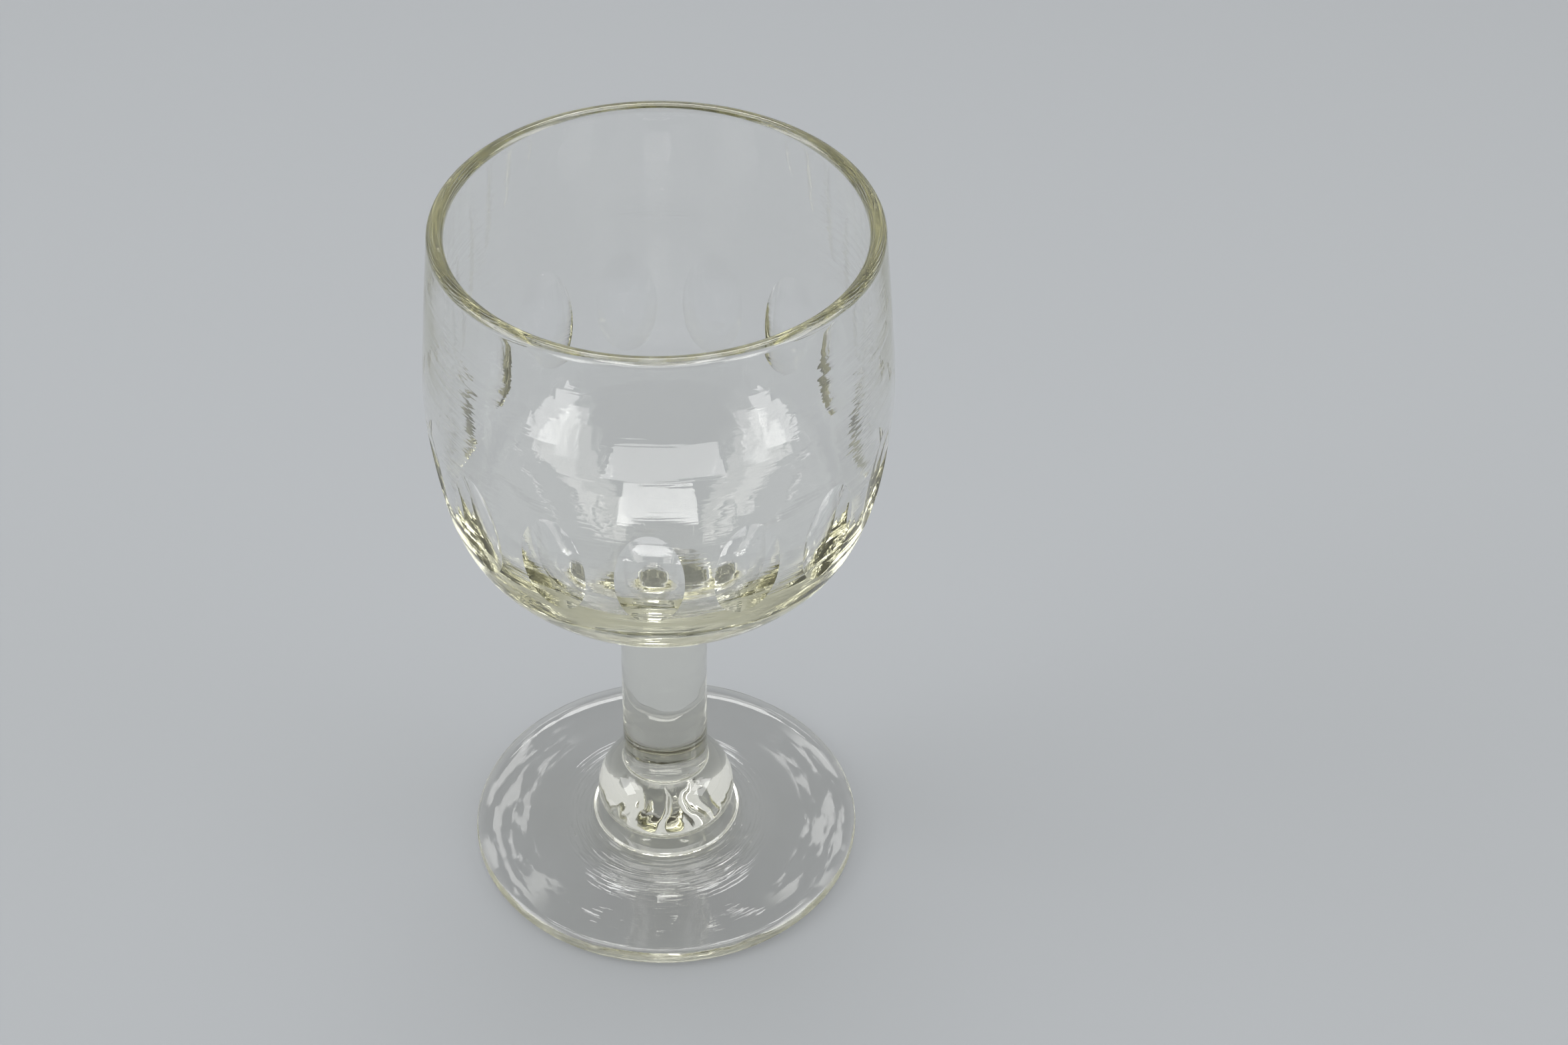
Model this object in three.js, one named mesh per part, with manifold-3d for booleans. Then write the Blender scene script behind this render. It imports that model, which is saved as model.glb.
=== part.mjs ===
// Clear port glass, made of five pieces of hot glass joined one on another: a deep rounded bowl
// with a band of cut ovals, a short plain stem, a round knop, a thin collar and a low round foot.
// Millimetres, +Z up. It stands on z = 0 with its axis along Z, and one oval faces -Y.
import * as THREE from "three";
import { mergeVertices } from "three/addons/utils/BufferGeometryUtils.js";
import Module from "manifold-3d";

// Foot
const footRadius = 28.3;
const footEdgeThickness = 2.5;
const footHubThickness = 3.3;
const footRestWidth = 5;
const footHollowDepth = 0.6;

// Collar between the foot and the knop
const collarRadius = 10.8;
const collarThickness = 2;

// Knop
const knopRadius = 10;
const knopHeight = 9.2;
const knopWidestHeight = 2.8;
const knopSeatRadius = 7.4;

// Stem
const stemRadius = 6.1;
const stemLength = 31.5;
const stemFootFlare = 0.3;
const stemFootFlareLength = 2.5;
const stemBowlFlare = 0.9;
const stemBowlFlareLength = 4;

// Bowl, outside
const bowlHeight = 63;
const bowlBellyRadius = 30.9;
const bowlBellyHeight = 37.5;
const rimRadius = 29;

// Bowl, inside
const rimWall = 2.2;
const bellyWall = 2.6;
const bowlFloorThickness = 8.5;
const bowlFloorFlatRadius = 3;

// Cut ovals round the lower bowl
const ovalCount = 15;
const ovalHeight = 16.4;
const ovalWidth = 9.1;
const ovalDepth = 1;
const ovalMiddleHeight = 29.5;
const cutterHalfThickness = 6;

// How finely round shapes are divided
const sidesPerOval = 4;
const stemSides = 40;
const footSides = 60;
const outsideStepsPerSpan = 3;
const insideStepsPerSpan = 2;
const lipSteps = 6;
const knopSteps = 6;
const edgeSteps = 6;
const cutterSides = 48;
const weldDistance = 1e-4;

// Heights of the joints above the table
const collarBase = footHubThickness;
const knopBase = collarBase + collarThickness;
const stemBase = knopBase + knopHeight;
const bowlBase = stemBase + stemLength;

// The lower bowl's outside, as shares of the belly's radius and of its height over the base
const lowerOutsideShares = [
  [0.246, 0.019],
  [0.317, 0.059],
  [0.46, 0.133],
  [0.65, 0.24],
  [0.816, 0.365],
  [0.906, 0.493],
  [0.968, 0.693],
];

// The lower bowl's inside, as shares of the inner belly's radius and of its height over the floor
const lowerInsideShares = [
  [0.283, 0.014],
  [0.53, 0.086],
  [0.735, 0.21],
  [0.883, 0.366],
  [0.958, 0.545],
  [0.991, 0.741],
];

// Where the upper wall is drawn in between belly and rim, as shares of the step in and of the height
const shoulderShares = [0.36, 0.45];

const wasm = await Module();
wasm.setup();

function at(radius, height) {
  return new THREE.Vector2(radius, height);
}

function mixed(from, to, share) {
  return from + (to - from) * share;
}

function arc(centre, radiusAcross, radiusUp, startAngle, endAngle, steps) {
  const curve = new THREE.EllipseCurve(
    centre.x, centre.y, radiusAcross, radiusUp, startAngle, endAngle, endAngle < startAngle);
  return curve.getPoints(steps);
}

// Joins coincident corners and drops the slivers that a turned outline leaves on its axis.
function welded(geometry) {
  geometry.deleteAttribute("normal");
  geometry.deleteAttribute("uv");
  const merged = mergeVertices(geometry, weldDistance);
  const corners = merged.index.array;
  const kept = [];
  for (let i = 0; i < corners.length; i += 3) {
    const [a, b, c] = corners.slice(i, i + 3);
    if (a !== b && b !== c && c !== a) kept.push(a, b, c);
  }
  merged.setIndex(kept);
  merged.computeVertexNormals();
  return merged;
}

// Turns an outline, listed from the bottom round the outside to the top, about Z.
function turned(outline, sides) {
  const geometry = new THREE.LatheGeometry(outline, sides);
  geometry.rotateX(Math.PI / 2);
  return welded(geometry);
}

function solidOf(geometry) {
  const mesh = new wasm.Mesh({
    numProp: 3,
    vertProperties: new Float32Array(geometry.attributes.position.array),
    triVerts: new Uint32Array(geometry.index.array),
  });
  return new wasm.Manifold(mesh);
}

function geometryOf(solid) {
  const mesh = solid.getMesh();
  const geometry = new THREE.BufferGeometry();
  geometry.setAttribute("position", new THREE.BufferAttribute(mesh.vertProperties, 3));
  geometry.setIndex(new THREE.BufferAttribute(mesh.triVerts, 1));
  geometry.computeVertexNormals();
  return geometry;
}

function piece(name, geometry, colour) {
  const glass = new THREE.MeshStandardMaterial({
    color: colour, roughness: 0.03, metalness: 0, transparent: true, opacity: 0.35 });
  const mesh = new THREE.Mesh(geometry, glass);
  mesh.name = name;
  return mesh;
}

// The foot rests on a flat ring, is slightly hollow inside it, and rises a little to its hub.
function makeFoot() {
  const edge = footEdgeThickness / 2;
  const restOuter = footRadius - edge;
  const restInner = restOuter - footRestWidth;
  const hubRadius = collarRadius - collarThickness / 2;
  const outline = [
    at(0, footHollowDepth),
    at(restInner / 2, footHollowDepth),
    at(restInner, 0),
    at(restOuter, 0),
    ...arc(at(restOuter, edge), edge, edge, -Math.PI / 2, Math.PI / 2, edgeSteps).slice(1),
    at(mixed(hubRadius, restOuter, 1 / 3), mixed(footHubThickness, footEdgeThickness, 1 / 2)),
    at(hubRadius, footHubThickness),
    at(0, footHubThickness),
  ];
  return piece("foot", turned(outline, footSides), 0xd3dcd2);
}

// The collar is a flat disc with a round edge.
function makeCollar() {
  const edge = collarThickness / 2;
  const middle = at(collarRadius - edge, collarBase + edge);
  const outline = [
    at(0, collarBase),
    ...arc(middle, edge, edge, -Math.PI / 2, Math.PI / 2, edgeSteps),
    at(0, knopBase),
  ];
  return piece("collar", turned(outline, stemSides), 0xc9cbb0);
}

// The knop swells quickly above its seat and falls in more slowly to the stem.
function makeKnop() {
  const widest = knopBase + knopWidestHeight;
  const topRadius = stemRadius + stemFootFlare;
  const across = knopRadius - knopSeatRadius;
  const below = arc(at(knopSeatRadius, widest), across, knopWidestHeight, -Math.PI / 2, 0, knopSteps);
  const rise = stemBase - widest;
  const above = new THREE.CubicBezierCurve(
    at(knopRadius, widest),
    at(knopRadius, widest + rise / 3),
    at(mixed(topRadius, knopRadius, 1 / 2), mixed(widest, stemBase, 2 / 3)),
    at(topRadius, stemBase),
  ).getPoints(knopSteps);
  const outline = [at(0, knopBase), ...below, ...above.slice(1), at(0, stemBase)];
  return piece("knop", turned(outline, stemSides), 0xc9cbb0);
}

// The stem is a solid rod that flares a little where it meets the knop and the bowl.
function makeStem() {
  const lowerFlare = new THREE.QuadraticBezierCurve(
    at(stemRadius + stemFootFlare, stemBase),
    at(stemRadius, stemBase),
    at(stemRadius, stemBase + stemFootFlareLength),
  ).getPoints(edgeSteps / 2);
  const upperFlare = new THREE.QuadraticBezierCurve(
    at(stemRadius, bowlBase - stemBowlFlareLength),
    at(stemRadius, bowlBase),
    at(stemRadius + stemBowlFlare, bowlBase),
  ).getPoints(edgeSteps / 2);
  const outline = [at(0, stemBase), ...lowerFlare, ...upperFlare, at(0, bowlBase)];
  return piece("stem", turned(outline, stemSides), 0xdfe6dc);
}

// The outside of the bowl from its base to the start of the lip.
function bowlOutside() {
  const points = [at(stemRadius + stemBowlFlare, bowlBase)];
  for (const [radiusShare, heightShare] of lowerOutsideShares) {
    points.push(at(bowlBellyRadius * radiusShare, bowlBase + bowlBellyHeight * heightShare));
  }
  const lipHeight = bowlHeight - rimWall / 2;
  const [stepShare, riseShare] = shoulderShares;
  points.push(at(bowlBellyRadius, bowlBase + bowlBellyHeight));
  points.push(at(mixed(bowlBellyRadius, rimRadius, stepShare),
    bowlBase + mixed(bowlBellyHeight, lipHeight, riseShare)));
  points.push(at(rimRadius, bowlBase + lipHeight));
  return new THREE.SplineCurve(points);
}

// The inside of the bowl from its floor to the end of the lip.
function bowlInside() {
  const floor = bowlBase + bowlFloorThickness;
  const belly = bowlBase + bowlBellyHeight;
  const radius = bowlBellyRadius - bellyWall;
  const points = [at(bowlFloorFlatRadius, floor)];
  for (const [radiusShare, heightShare] of lowerInsideShares) {
    points.push(at(radius * radiusShare, mixed(floor, belly, heightShare)));
  }
  const lip = bowlBase + bowlHeight - rimWall / 2;
  const [stepShare, riseShare] = shoulderShares;
  points.push(at(radius, belly));
  points.push(at(mixed(radius, rimRadius - rimWall, stepShare), mixed(belly, lip, riseShare)));
  points.push(at(rimRadius - rimWall, lip));
  return new THREE.SplineCurve(points);
}

// Points along a wall curve, with as many steps between each two of its set points.
function wallPoints(curve, stepsPerSpan) {
  return curve.getPoints((curve.points.length - 1) * stepsPerSpan);
}

// Radius of a wall curve at a height, found between its nearest points.
function radiusAt(curve, height) {
  const points = wallPoints(curve, outsideStepsPerSpan);
  const above = points.findIndex((point) => point.y >= height);
  const [low, high] = [points[above - 1], points[above]];
  return mixed(low.x, high.x, (height - low.y) / (high.y - low.y));
}

// A stretched ball that leaves an oval of the named width, height and depth in the bowl's wall.
// The wall's own bulge under the oval is taken off the ball's, so that the oval keeps its size.
function makeOvalCutter(outside) {
  const middle = bowlBase + ovalMiddleHeight;
  const lowRadius = radiusAt(outside, middle - ovalHeight / 2);
  const highRadius = radiusAt(outside, middle + ovalHeight / 2);
  const middleRadius = radiusAt(outside, middle);
  const lean = Math.atan2(highRadius - lowRadius, ovalHeight);
  const bulgeUp = (middleRadius - (lowRadius + highRadius) / 2) * Math.cos(lean);
  const bulgeAcross = middleRadius - Math.sqrt(middleRadius ** 2 - (ovalWidth / 2) ** 2);
  const halfUp = ovalHeight / 2 / Math.cos(lean);
  const halfAcross = ovalWidth / 2;
  const reachUp = halfUp * Math.sqrt(cutterHalfThickness / (2 * (ovalDepth - bulgeUp)));
  const reachAcross = halfAcross * Math.sqrt(cutterHalfThickness / (2 * (ovalDepth - bulgeAcross)));
  const ball = new THREE.SphereGeometry(1, cutterSides, cutterSides / 2);
  ball.rotateX(Math.PI / 2);
  ball.scale(reachAcross, cutterHalfThickness, reachUp);
  ball.translate(0, -(cutterHalfThickness - ovalDepth), 0);
  ball.rotateX(lean);
  ball.translate(0, -middleRadius, middle);
  return welded(ball);
}

// The bowl is a turned shell with a round lip and a thick floor, with the ovals cut in it.
function makeBowl() {
  const outside = bowlOutside();
  const lipRadius = rimWall / 2;
  const lipMiddle = at(rimRadius - lipRadius, bowlBase + bowlHeight - lipRadius);
  const outline = [
    at(0, bowlBase),
    ...wallPoints(outside, outsideStepsPerSpan),
    ...arc(lipMiddle, lipRadius, lipRadius, 0, Math.PI, lipSteps).slice(1, -1),
    ...wallPoints(bowlInside(), insideStepsPerSpan).reverse(),
    at(0, bowlBase + bowlFloorThickness),
  ];
  let shell = solidOf(turned(outline, ovalCount * sidesPerOval));
  const cutter = makeOvalCutter(outside);
  for (let i = 0; i < ovalCount; i += 1) {
    const turnedCutter = cutter.clone().rotateZ((i * 2 * Math.PI) / ovalCount);
    shell = shell.subtract(solidOf(turnedCutter));
  }
  return piece("bowl", geometryOf(shell), 0xdfe6dc);
}

const glass = new THREE.Group();
glass.add(makeFoot(), makeCollar(), makeKnop(), makeStem(), makeBowl());

export default glass;
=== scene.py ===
import math
import random

import bpy
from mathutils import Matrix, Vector


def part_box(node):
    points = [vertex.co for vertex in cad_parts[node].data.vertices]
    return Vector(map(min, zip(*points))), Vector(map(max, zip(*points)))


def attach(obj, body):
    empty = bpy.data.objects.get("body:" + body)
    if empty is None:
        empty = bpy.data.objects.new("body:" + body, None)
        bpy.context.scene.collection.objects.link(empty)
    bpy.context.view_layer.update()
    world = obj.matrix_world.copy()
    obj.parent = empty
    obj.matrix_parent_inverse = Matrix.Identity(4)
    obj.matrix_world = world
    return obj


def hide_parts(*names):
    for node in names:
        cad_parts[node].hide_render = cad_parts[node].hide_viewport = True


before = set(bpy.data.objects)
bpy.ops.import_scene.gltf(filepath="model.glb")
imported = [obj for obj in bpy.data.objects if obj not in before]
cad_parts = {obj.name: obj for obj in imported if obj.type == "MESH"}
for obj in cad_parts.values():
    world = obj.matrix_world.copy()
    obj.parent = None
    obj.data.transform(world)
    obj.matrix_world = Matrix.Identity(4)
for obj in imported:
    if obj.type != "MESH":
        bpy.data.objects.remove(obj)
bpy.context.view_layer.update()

# Foot: a thin low disc of clear glass, spread hot from a gather, with faint turned rings on its
# top and ridged drag marks next to the collar. It rests on a flat ring worn dull by use, and is
# slightly hollow inside it, where the broken-off iron left a chipped scar under the stem.
MM = 0.001
ROUND_STEPS = 160
EDGE_STEPS = 24
MERGE_REACH = MM / 1000
CREASE_ANGLE = 9
JOINT_GAP = 0.01
foot_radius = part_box("foot")[1][0] / MM
hub_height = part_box("foot")[1][2] / MM
hub_radius = 9.8
foot_edge_thickness = 2.5
foot_rest_width = 5
foot_hollow_depth = 0.6
foot_rise_power = 3
foot_steps = 150
ring_depth = 0.004
ring_spacing = 1.4
ring_wander = 1.3
ringed_radius = 19
ring_fade_width = 5
ring_hub_fade = 6
drag_depth = 0.065
drag_spacing = 0.7
drag_rise = 0.4
drag_wander = 0.27
drag_wander_pace = 2.3
dragged_radius = 17
drag_fade_width = 2
drag_hub_fade_width = 0.6
scar_radius = 6
scar_rings = 36
scar_clearance = 0.1
chip_rows = 6
chip_spacing = 1.3
chip_scatter = 0.45
chip_depth = 0.06
chip_tilt = 0.25


def mixed(start, end, share):
    return start + (end - start) * share


def arc(centre, across, up, start, end, steps):
    """Points on part of an ellipse in the outline's plane, with the angles in degrees."""
    angles = [math.radians(mixed(start, end, i / steps)) for i in range(steps + 1)]
    return [(centre[0] + across * math.cos(a), centre[1] + up * math.sin(a)) for a in angles]


def turn(name, outline):
    """Draws the outline by extruding one corner along it, and spins the line round Z."""
    bpy.ops.object.select_all(action="DESELECT")
    bpy.ops.mesh.primitive_plane_add(size=MM, location=(0, 0, 0))
    piece = bpy.context.object
    piece.name = name
    bpy.ops.object.mode_set(mode="EDIT")
    bpy.ops.mesh.select_all(action="SELECT")
    bpy.ops.mesh.merge(type="CENTER")
    bpy.ops.transform.translate(value=(outline[0][0] * MM, 0, outline[0][1] * MM))
    for start, end in zip(outline, outline[1:]):
        step = ((end[0] - start[0]) * MM, 0, (end[1] - start[1]) * MM)
        bpy.ops.mesh.extrude_region_move(TRANSFORM_OT_translate={"value": step})
    bpy.ops.mesh.select_all(action="SELECT")
    bpy.ops.mesh.spin(steps=ROUND_STEPS, angle=math.tau, center=(0, 0, 0), axis=(0, 0, 1))
    bpy.ops.mesh.select_all(action="SELECT")
    bpy.ops.mesh.remove_doubles(threshold=MERGE_REACH)
    bpy.ops.mesh.normals_make_consistent(inside=False)
    bpy.ops.object.mode_set(mode="OBJECT")
    bpy.ops.object.shade_smooth_by_angle(angle=math.radians(CREASE_ANGLE))
    return piece


def mark_joints(piece, *joints):
    """Marks the flat faces fused to the next piece, each given by its height and radius."""
    level_enough = 0.9
    mark = piece.data.attributes.new("joint", "FLOAT", "FACE")
    for face in piece.data.polygons:
        centre = face.center / MM
        for height, radius in joints:
            level = abs(centre.z - height) < JOINT_GAP / 2 and abs(face.normal.z) > level_enough
            if level and math.hypot(centre.x, centre.y) < radius:
                mark.data[face.index].value = 1


def foot_top(radius):
    """Height of the foot's top, which rises to the hub with its turned rings and drag marks."""
    share = (rest_outer - radius) / (rest_outer - hub_radius)
    rise = mixed(foot_edge_thickness, hub_height, share ** foot_rise_power)
    fade = max(0, min(1, (ringed_radius - radius) / ring_fade_width, (1 - share) * ring_hub_fade))
    ring = math.sin(math.tau * radius / ring_spacing + math.sin(radius * ring_wander))
    inward = max(0, min(1, (dragged_radius - radius) / drag_fade_width,
                        (radius - hub_radius) / drag_hub_fade_width))
    ridge = (radius / drag_spacing + drag_wander * math.sin(radius * drag_wander_pace)) % 1
    if ridge < drag_rise:
        drag = 2 * ridge / drag_rise - 1
    else:
        drag = 1 - 2 * (ridge - drag_rise) / (1 - drag_rise)
    return rise + ring_depth * fade * ring + drag_depth * inward * drag


foot_edge = foot_edge_thickness / 2
rest_outer = foot_radius - foot_edge
rest_inner = rest_outer - foot_rest_width
scar_reach = scar_radius + chip_spacing
foot_outline = [(scar_reach * i / scar_rings, foot_hollow_depth) for i in range(scar_rings + 1)]
foot_outline += [(rest_inner / 2, foot_hollow_depth), (rest_inner, 0), (rest_outer, 0)]
foot_outline += arc((rest_outer, foot_edge), foot_edge, foot_edge, -90, 90, EDGE_STEPS)[1:]
for i in range(1, foot_steps):
    ring_radius = mixed(rest_outer, hub_radius, i / foot_steps)
    foot_outline.append((ring_radius, foot_top(ring_radius)))
foot_outline += [(hub_radius, hub_height - JOINT_GAP), (0, hub_height - JOINT_GAP)]
foot = turn("foot_glass", foot_outline)
mark_joints(foot, (hub_height - JOINT_GAP, hub_radius))
chance = random.Random(5)
chips = []
for row in range(-chip_rows, chip_rows + 1):
    for column in range(-chip_rows, chip_rows + 1):
        chips.append((
            (column + chance.uniform(-chip_scatter, chip_scatter)) * chip_spacing,
            (row + chance.uniform(-chip_scatter, chip_scatter)) * chip_spacing,
            chance.uniform(-1, 1) * chip_depth,
            chance.uniform(-1, 1) * chip_tilt,
            chance.uniform(-1, 1) * chip_tilt))
for corner in foot.data.vertices:
    x, y, z = corner.co / MM
    if z < hub_height / 2 and math.hypot(x, y) < scar_reach:
        chip_x, chip_y, lift, tilt_x, tilt_y = min(
            chips, key=lambda chip: math.hypot(chip[0] - x, chip[1] - y))
        if math.hypot(chip_x, chip_y) < scar_radius:
            broken = z + lift + tilt_x * (x - chip_x) + tilt_y * (y - chip_y)
            corner.co.z = max(scar_clearance, min(hub_height / 2, broken)) * MM


class Wire:
    """An output of a material's node. Arithmetic on it adds Math nodes."""

    def __init__(self, socket):
        self.socket = socket

    def node(self, kind, settings, inputs, output=0):
        """Adds any other node, sets it up, fills or links its sockets, and gives one output."""
        tree = self.socket.id_data
        made = tree.nodes.new(kind)
        for name, value in settings.items():
            setattr(made, name, value)
        for name, value in inputs.items():
            if isinstance(value, Wire):
                tree.links.new(value.socket, made.inputs[name])
            else:
                made.inputs[name].default_value = value
        return Wire(made.outputs[output]) if made.outputs else None

    def maths(self, operation, *others):
        values = dict(enumerate((self, *others)))
        return self.node("ShaderNodeMath", {"operation": operation}, values)

    def axes(self):
        """The X, Y and Z of a vector."""
        x = self.node("ShaderNodeSeparateXYZ", {}, {0: self})
        return x, Wire(x.socket.node.outputs["Y"]), Wire(x.socket.node.outputs["Z"])

    def noise(self, scale, detail=2.0):
        values = {"Vector": self, "Scale": scale, "Detail": detail}
        return self.node("ShaderNodeTexNoise", {}, values)

    def ramp(self, low, high):
        """Goes smoothly from 0 at low to 1 at high."""
        values = {"Value": self, "From Min": low, "From Max": high}
        return self.node("ShaderNodeMapRange", {"interpolation_type": "SMOOTHSTEP"}, values)

    def __add__(self, other):
        return self.maths("ADD", other)

    def __sub__(self, other):
        return self.maths("SUBTRACT", other)

    def __rsub__(self, other):
        return self.node("ShaderNodeMath", {"operation": "SUBTRACT"}, {0: other, 1: self})

    def __mul__(self, other):
        return self.maths("MULTIPLY", other)

    def __truediv__(self, other):
        return self.maths("DIVIDE", other)

    __radd__ = __add__
    __rmul__ = __mul__


def clear_glass(name, finish):
    """Clear glass with a faint olive body. finish(place) gives its waves in mm and its roughness."""
    shadow_clearness = 0.94
    material = bpy.data.materials.new(name)
    material.use_nodes = True
    tree = material.node_tree
    tree.nodes.clear()
    place = Wire(tree.nodes.new("ShaderNodeTexCoord").outputs["Object"])
    waves, rough = finish(place)
    bump = place.node("ShaderNodeBump", {}, {"Strength": 1.0, "Distance": MM, "Height": waves})
    glass = place.node("ShaderNodeBsdfPrincipled", {}, {
        "Base Color": (1, 1, 1, 1), "Roughness": rough, "IOR": 1.52,
        "Transmission Weight": 1.0, "Normal": bump})
    clear = place.node("ShaderNodeBsdfTransparent", {}, {"Color": (1, 1, 1, 1)})
    joint = place.node("ShaderNodeAttribute", {"attribute_name": "joint"}, {}, "Fac")
    shade = place.node("ShaderNodeLightPath", {}, {}, "Is Shadow Ray")
    surface = place.node("ShaderNodeMixShader", {}, {
        0: joint.maths("MAXIMUM", shade * shadow_clearness), 1: glass, 2: clear})
    body = place.node("ShaderNodeVolumeAbsorption", {}, {
        "Color": (0.80, 0.795, 0.70, 1), "Density": 44.0})
    place.node("ShaderNodeOutputMaterial", {}, {"Surface": surface, "Volume": body})
    return material


def foot_finish(place):
    """Drags drawn out round the axis by the paddle, a rest ring worn dull, and a dull scar."""
    still_wave, drag_wave, broad_wave = 0.014, 0.08, 0.14
    worn_roughness, scar_roughness = 0.2, 0.02
    x, y, z = place.axes()
    radius = (x * x + y * y).maths("SQRT")
    upper = z.ramp(0.0018, 0.002)
    near_hub = (1 - radius.ramp(0.015, 0.0175)) * upper
    drawn = place.node("ShaderNodeCombineXYZ", {}, {"X": radius * 1500, "Y": x * 90, "Z": y * 90})
    waves = drawn.noise(1.0) * (near_hub * drag_wave + still_wave)
    waves = waves + place.noise(150.0, 1.0) * broad_wave
    sideways = x / (radius + 0.001)
    along = place.node("ShaderNodeCombineXYZ", {}, {
        "X": sideways * 4, "Y": y / (radius + 0.001) * 4, "Z": radius * 700})
    rest_ring = (1 - z.ramp(0.0001, 0.0003)) * radius.ramp(0.0198, 0.0208)
    worn = rest_ring * (sideways * sideways).ramp(0.3, 0.6) * along.noise(1.0, 6.0).ramp(0.47, 0.56)
    scar = (1 - radius.ramp(0.0064, 0.0068)) * (1 - upper)
    return waves, worn * worn_roughness + scar * scar_roughness


foot.data.materials.append(clear_glass("foot_glass", foot_finish))
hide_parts("foot")
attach(foot, "root")

# Collar: a thin disc of glass with a fire-rounded edge, pressed on the foot's hub to take the
# knop above it. Its top slopes down from the knop to the edge, more and more steeply.
collar_base, knop_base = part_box("collar")[0][2] / MM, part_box("collar")[1][2] / MM
knop_seat_radius = 7.4
collar_drop = 0.75
collar_drop_steps = 9
collar_slope_end = 0.8
collar_edge = (knop_base - collar_base) / 2
collar_slope_radius = hub_radius + collar_edge * collar_slope_end
collar_outline = [(0, collar_base)]
collar_outline += arc((hub_radius, collar_base + collar_edge), collar_edge, collar_edge,
                      -90, 0, EDGE_STEPS // 2)
for i in range(collar_drop_steps + 1):
    share = 1 - i / collar_drop_steps
    collar_outline.append((mixed(knop_seat_radius, collar_slope_radius, share),
                           knop_base - JOINT_GAP - collar_drop * share ** 2))
collar_outline.append((0, knop_base - JOINT_GAP))
collar = turn("collar_glass", collar_outline)
mark_joints(collar, (collar_base, hub_radius), (knop_base - JOINT_GAP, knop_seat_radius))


def worked_finish(place):
    """Soft unevenness of a solid piece shaped hot with a tool."""
    return place.noise(160.0, 1.5) * 0.10, 0.0


worked_glass = clear_glass("worked_glass", worked_finish)
collar.data.materials.append(worked_glass)
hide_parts("collar")
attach(collar, "root")

# Knop: one solid round swelling, squeezed with a tool between the collar and the stem. Its
# sides are full, and a broad shoulder rounds in to the stem above them.
knop_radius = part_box("knop")[1][0] / MM
stem_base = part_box("knop")[1][2] / MM
knop_widest = knop_base + 2.8
stem_foot_radius = 6.4
knop_side = 0.42
knop_shoulder = (0.62, 0.86)
knop_steps = 20
shoulder_steps = 24


def bezier(points, steps):
    """Points on the cubic curve with these four control points."""
    line = []
    for i in range(steps + 1):
        t = i / steps
        shares = ((1 - t) ** 3, 3 * t * (1 - t) ** 2, 3 * t * t * (1 - t), t ** 3)
        line.append([sum(s * p[axis] for s, p in zip(shares, points)) for axis in (0, 1)])
    return line


knop_outline = [(0, knop_base)]
knop_outline += arc((knop_seat_radius, knop_widest), knop_radius - knop_seat_radius,
                    knop_widest - knop_base, -90, 0, knop_steps)
knop_outline += bezier([
    (knop_radius, knop_widest),
    (knop_radius, mixed(knop_widest, stem_base, knop_side)),
    (mixed(stem_foot_radius, knop_radius, knop_shoulder[0]),
     mixed(knop_widest, stem_base, knop_shoulder[1])),
    (stem_foot_radius, stem_base - JOINT_GAP)], shoulder_steps)[1:]
knop_outline.append((0, stem_base - JOINT_GAP))
knop = turn("knop_glass", knop_outline)
mark_joints(knop, (knop_base, knop_seat_radius), (stem_base - JOINT_GAP, stem_foot_radius))
knop.data.materials.append(worked_glass)
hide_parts("knop")
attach(knop, "root")

# Stem: a short plain solid rod drawn from the bowl's base, with a small flare at each end
# where it was fused to the bowl and to the knop.
bowl_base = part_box("bowl")[0][2] / MM
stem_radius = 6.1
stem_bowl_radius = 7
foot_flare = (0.4, 1.2, 2.5)
bowl_flare = (4, 2.2, 0.9)
flare_steps = 12
stem_outline = [(0, stem_base)]
stem_outline += bezier([
    (stem_foot_radius, stem_base), (stem_radius, stem_base + foot_flare[0]),
    (stem_radius, stem_base + foot_flare[1]), (stem_radius, stem_base + foot_flare[2])], flare_steps)
stem_outline += bezier([
    (stem_radius, bowl_base - bowl_flare[0]), (stem_radius, bowl_base - bowl_flare[1]),
    (mixed(stem_radius, stem_bowl_radius, 1 / 3), bowl_base - bowl_flare[2]),
    (stem_bowl_radius, bowl_base - JOINT_GAP)], flare_steps)
stem_outline.append((0, bowl_base - JOINT_GAP))
stem = turn("stem_glass", stem_outline)
mark_joints(stem, (stem_base, stem_foot_radius), (bowl_base - JOINT_GAP, stem_bowl_radius))
stem.data.materials.append(worked_glass)
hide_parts("stem")
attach(stem, "root")

# Bowl: blown in clear glass with a thick base and a rim rounded in the fire, then cut on a
# stone wheel with one band of tall concave ovals round its lower wall and polished.
clearance = 0.02
belly_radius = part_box("bowl")[1][0] / MM - clearance
rim_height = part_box("bowl")[1][2] / MM - clearance
belly_height = bowl_base + 37.5
rim_radius = 29
rim_wall = 2.2
belly_wall = 2.6
floor_height = bowl_base + 8.5
floor_flat_radius = 3
lower_outside = [(0.246, 0.019), (0.317, 0.059), (0.46, 0.133), (0.65, 0.24), (0.816, 0.365),
                 (0.906, 0.493), (0.968, 0.693)]
lower_inside = [(0.283, 0.014), (0.53, 0.086), (0.735, 0.21), (0.883, 0.366), (0.958, 0.545),
                (0.991, 0.741)]
shoulder = (0.36, 0.45)
curve_steps = 12
lip_steps = 28
oval_count = 15
oval_height = 16.4
oval_width = 9.1
oval_depth = 1
oval_middle = bowl_base + 29.5
wheel_half = 6


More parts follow.
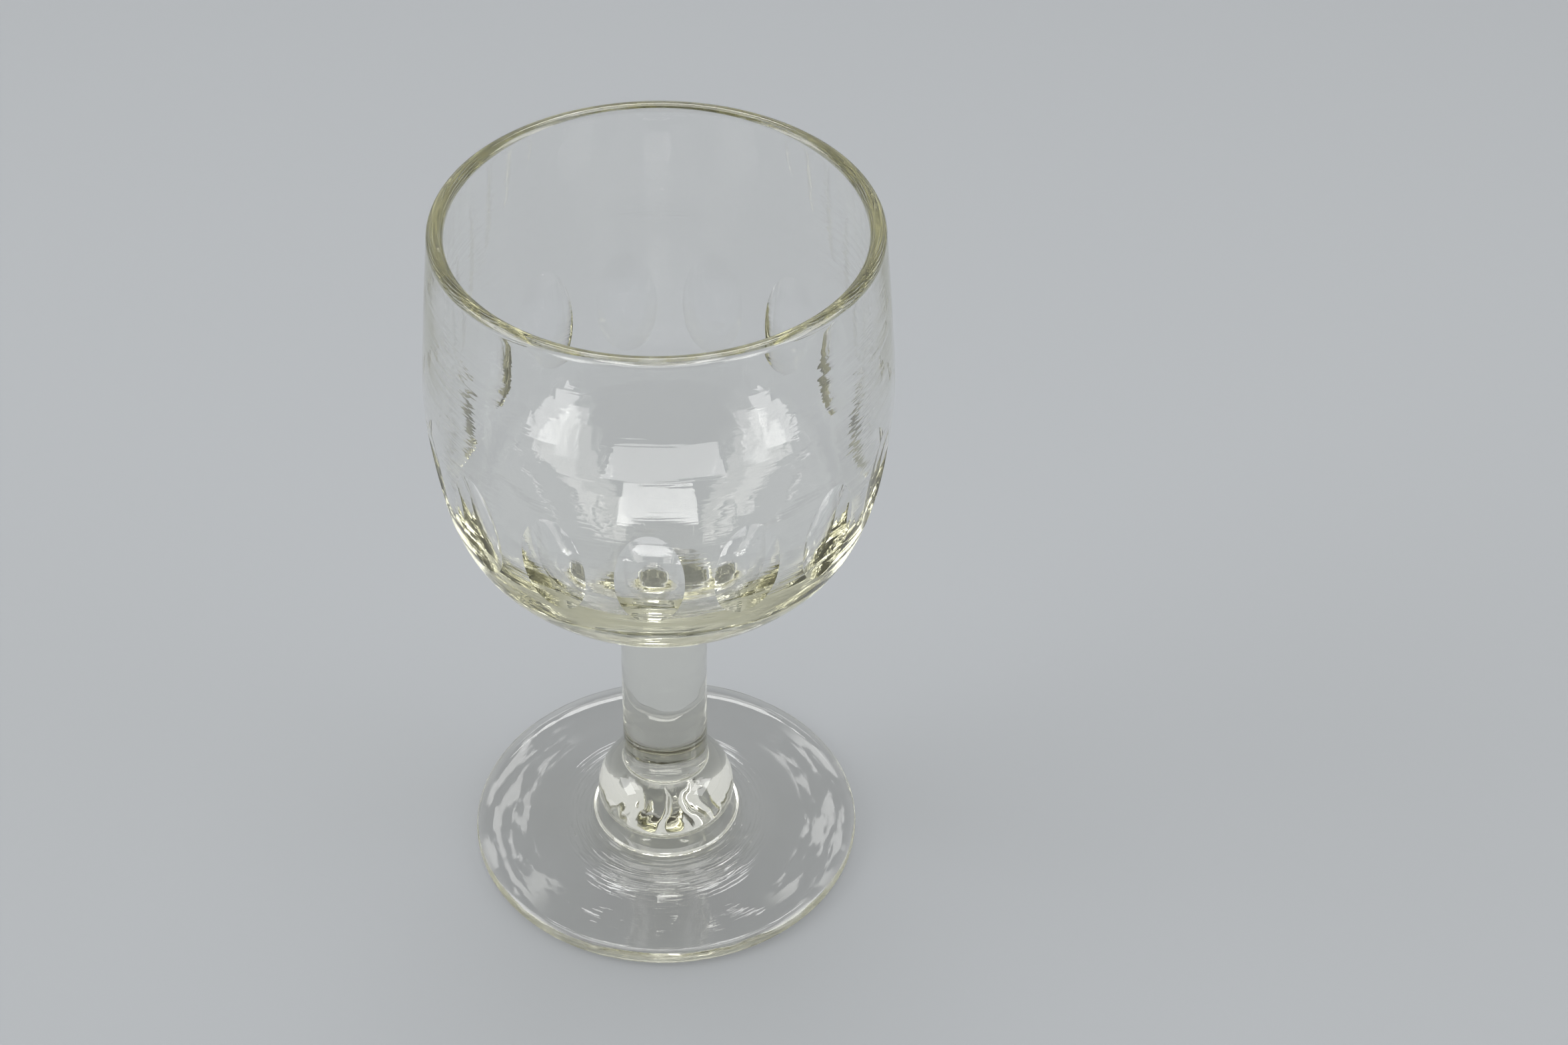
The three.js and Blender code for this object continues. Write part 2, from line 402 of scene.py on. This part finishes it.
def smooth_line(points, steps):
    """A smooth line through all the points, with as many steps between each two."""
    line = [points[0]]
    padded = [points[0], *points, points[-1]]
    for near in zip(padded, padded[1:], padded[2:], padded[3:]):
        for i in range(1, steps + 1):
            t = i / steps
            shares = (2 * t * t - t - t ** 3, 2 + 3 * t ** 3 - 5 * t * t,
                      t + 4 * t * t - 3 * t ** 3, t ** 3 - t * t)
            line.append([sum(s * p[axis] / 2 for s, p in zip(shares, near)) for axis in (0, 1)])
    return line


lip_height = rim_height - rim_wall / 2
lip_middle = rim_radius - rim_wall / 2
inner_belly = belly_radius - belly_wall
inner_rim = rim_radius - rim_wall
outside_points = [(stem_bowl_radius, bowl_base)]
outside_points += [(belly_radius * r, mixed(bowl_base, belly_height, h)) for r, h in lower_outside]
outside_points += [(belly_radius, belly_height),
                   (mixed(belly_radius, rim_radius, shoulder[0]),
                    mixed(belly_height, lip_height, shoulder[1])),
                   (rim_radius, lip_height)]
inside_points = [(floor_flat_radius, floor_height)]
inside_points += [(inner_belly * r, mixed(floor_height, belly_height, h)) for r, h in lower_inside]
inside_points += [(inner_belly, belly_height),
                  (mixed(inner_belly, inner_rim, shoulder[0]),
                   mixed(belly_height, lip_height, shoulder[1])),
                  (inner_rim, lip_height)]
outside = smooth_line(outside_points, curve_steps)
inside = smooth_line(inside_points, curve_steps)
bowl_outline = [(0, bowl_base), *outside]
bowl_outline += arc((lip_middle, lip_height), rim_wall / 2, rim_wall / 2, 0, 180, lip_steps)[1:-1]
bowl_outline += [*reversed(inside), (0, floor_height)]
bowl = turn("bowl_glass", bowl_outline)


def outside_radius(height):
    """The bowl's outer radius at a height, between the outline's nearest points."""
    for start, end in zip(outside, outside[1:]):
        if start[1] <= height <= end[1]:
            return mixed(start[0], end[0], (height - start[1]) / (end[1] - start[1]))


oval_radius = outside_radius(oval_middle)
oval_foot_radius = outside_radius(oval_middle - oval_height / 2)
oval_head_radius = outside_radius(oval_middle + oval_height / 2)
oval_lean = math.atan2(oval_head_radius - oval_foot_radius, oval_height)
bulge_up = (oval_radius - (oval_foot_radius + oval_head_radius) / 2) * math.cos(oval_lean)
bulge_across = oval_radius - math.sqrt(oval_radius ** 2 - (oval_width / 2) ** 2)
half_up = oval_height / 2 / math.cos(oval_lean)
reach_up = half_up * math.sqrt(wheel_half / (2 * (oval_depth - bulge_up)))
reach_across = oval_width / 2 * math.sqrt(wheel_half / (2 * (oval_depth - bulge_across)))
for i in range(oval_count):
    bpy.ops.object.select_all(action="DESELECT")
    bpy.ops.mesh.primitive_uv_sphere_add(segments=96, ring_count=64, radius=MM, location=(0, 0, 0))
    cutter = bpy.context.object
    bpy.ops.object.mode_set(mode="EDIT")
    bpy.ops.mesh.select_all(action="SELECT")
    bpy.ops.transform.resize(value=(reach_across, wheel_half, reach_up))
    bpy.ops.transform.translate(value=(0, -(wheel_half - oval_depth) * MM, 0))
    bpy.ops.object.mode_set(mode="OBJECT")
    cutter.rotation_euler = (oval_lean, 0, 0)
    cutter.location = (0, -oval_radius * MM, oval_middle * MM)
    bpy.ops.object.transform_apply(location=True, rotation=True, scale=True)
    cutter.rotation_euler = (0, 0, i * math.tau / oval_count)
    cut = bowl.modifiers.new("oval", "BOOLEAN")
    cut.operation, cut.solver, cut.object = "DIFFERENCE", "EXACT", cutter
    bpy.context.view_layer.objects.active = bowl
    bpy.ops.object.modifier_apply(modifier=cut.name)
    bpy.data.objects.remove(cutter)
bpy.ops.object.select_all(action="DESELECT")
bowl.select_set(True)
bpy.context.view_layer.objects.active = bowl
bpy.ops.object.shade_smooth_by_angle(angle=math.radians(CREASE_ANGLE))
mark_joints(bowl, (bowl_base, stem_bowl_radius))


def bowl_finish(place):
    """Fine level rings and broad upright waves of blown glass, which the fire melted off the rim."""
    fine_wave, broad_wave = 0.026, 0.025
    x, y, z = place.axes()
    radius = (x * x + y * y).maths("SQRT") + 0.001
    level = place.node("ShaderNodeCombineXYZ", {}, {
        "X": x / radius * 2, "Y": y / radius * 2, "Z": z * 900})
    upright = place.node("ShaderNodeCombineXYZ", {}, {
        "X": x / radius * 4, "Y": y / radius * 4, "Z": z * 25})
    waves = level.noise(1.0) * fine_wave + upright.noise(1.0, 1.0) * broad_wave
    return waves * (1 - z.ramp(0.098, 0.106)), 0.0


bowl.data.materials.append(clear_glass("bowl_glass", bowl_finish))
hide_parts("bowl")
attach(bowl, "root")

# Floor: plain pale paper that the glass stands on. It lies a hair lower than the foot, so that
# the two faces don't share one plane.
floor_gap = 0.05
bpy.ops.object.select_all(action="DESELECT")
bpy.ops.mesh.primitive_plane_add(size=6, location=(0, 0, -floor_gap * MM))
floor = bpy.context.object
floor.name = "floor"
paper = bpy.data.materials.new("paper")
paper.use_nodes = True
paper_finish = paper.node_tree.nodes["Principled BSDF"]
paper_finish.inputs["Base Color"].default_value = (0.37, 0.385, 0.40, 1)
paper_finish.inputs["Roughness"].default_value = 0.9
floor.data.materials.append(paper)

# Light: a soft lamp low at each side with a dimmer one over it, one overhead and one high behind.
# The plain surround is pale behind and at the sides and dark overhead and towards the camera, and
# is brighter in what the glass mirrors and bends than in what it lights.
lamp_distance = 0.9
lamp_aim = Vector((0, 0, 0.06))
for lamp_name, turned, raised, rolled, width, height, power in (
        ("lamp_left", -102, 27, -20, 0.56, 0.34, 3.0),
        ("lamp_right", 102, 27, 20, 0.56, 0.34, 3.0),
        ("lamp_left_top", -100, 45, -20, 0.50, 0.20, 0.9),
        ("lamp_right_top", 100, 45, 20, 0.50, 0.20, 0.9),
        ("lamp_above", -25, 85.6, -25, 0.76, 0.45, 4.2),
        ("lamp_behind", -1, 61, 0, 0.34, 0.25, 2.3)):
    turned, raised = math.radians(turned), math.radians(raised)
    out = Vector((math.sin(turned) * math.cos(raised), math.cos(turned) * math.cos(raised),
                  math.sin(raised)))
    bpy.ops.object.select_all(action="DESELECT")
    bpy.ops.object.light_add(type="AREA", location=out * lamp_distance + lamp_aim)
    lamp = bpy.context.object
    lamp.name = lamp_name
    lamp.data.shape = "RECTANGLE"
    lamp.data.size, lamp.data.size_y, lamp.data.energy = width, height, power
    lamp.rotation_euler = out.to_track_quat("Z", "Y").to_euler()
    lamp.rotation_euler.rotate_axis("Z", math.radians(rolled))
world = bpy.data.worlds.new("surround")
bpy.context.scene.world = world
world.use_nodes = True
background = world.node_tree.nodes["Background"]
side_share, top_share, blend = 0.8, 0.6, 0.6
extra_in_glass = 1.5
sky = Wire(world.node_tree.nodes.new("ShaderNodeTexCoord").outputs["Generated"])
sky_x, sky_y, sky_z = sky.axes()
pale = (sky_y + sky_x.maths("ABSOLUTE") * side_share - sky_z * top_share).ramp(-blend, blend)
# Sockets 6 and 7 of the Mix node are its two colours, and its output 2 is the mixed one.
shade = sky.node("ShaderNodeMix", {"data_type": "RGBA"}, {
    "Factor": 1 - pale, 6: (0.32, 0.325, 0.33, 1), 7: (0.02, 0.018, 0.012, 1)}, 2)
mirrored = sky.node("ShaderNodeLightPath", {}, {}, "Is Glossy Ray")
bent = sky.node("ShaderNodeLightPath", {}, {}, "Is Transmission Ray")
bright = mirrored.maths("MAXIMUM", bent) * extra_in_glass + 1
world.node_tree.links.new(shade.socket, background.inputs["Color"])
world.node_tree.links.new(bright.socket, background.inputs["Strength"])

# Camera: where the photograph was taken from, close to the glass and looking down into it. Light
# goes through many faces of glass, so each path may be long.
camera_dip = 40.729
camera_turn = 1.155
path_length = 64
bpy.ops.object.select_all(action="DESELECT")
bpy.ops.object.camera_add(location=(0.0167, -0.2981, 0.3164))
camera = bpy.context.object
camera.data.sensor_width = 36
camera.data.lens = 66.08
camera.data.clip_start = 0.01
camera.rotation_mode = "ZYX"
camera.rotation_euler = (math.radians(90 - camera_dip), 0, math.radians(camera_turn))
bpy.context.scene.camera = camera
bpy.context.scene.view_settings.view_transform = "Standard"
bpy.context.scene.cycles.max_bounces = path_length
bpy.context.scene.cycles.transmission_bounces = path_length
bpy.context.scene.cycles.glossy_bounces = path_length
bpy.context.scene.cycles.transparent_max_bounces = path_length
bpy.context.scene.cycles.caustics_refractive = False
bpy.context.scene.cycles.caustics_reflective = False
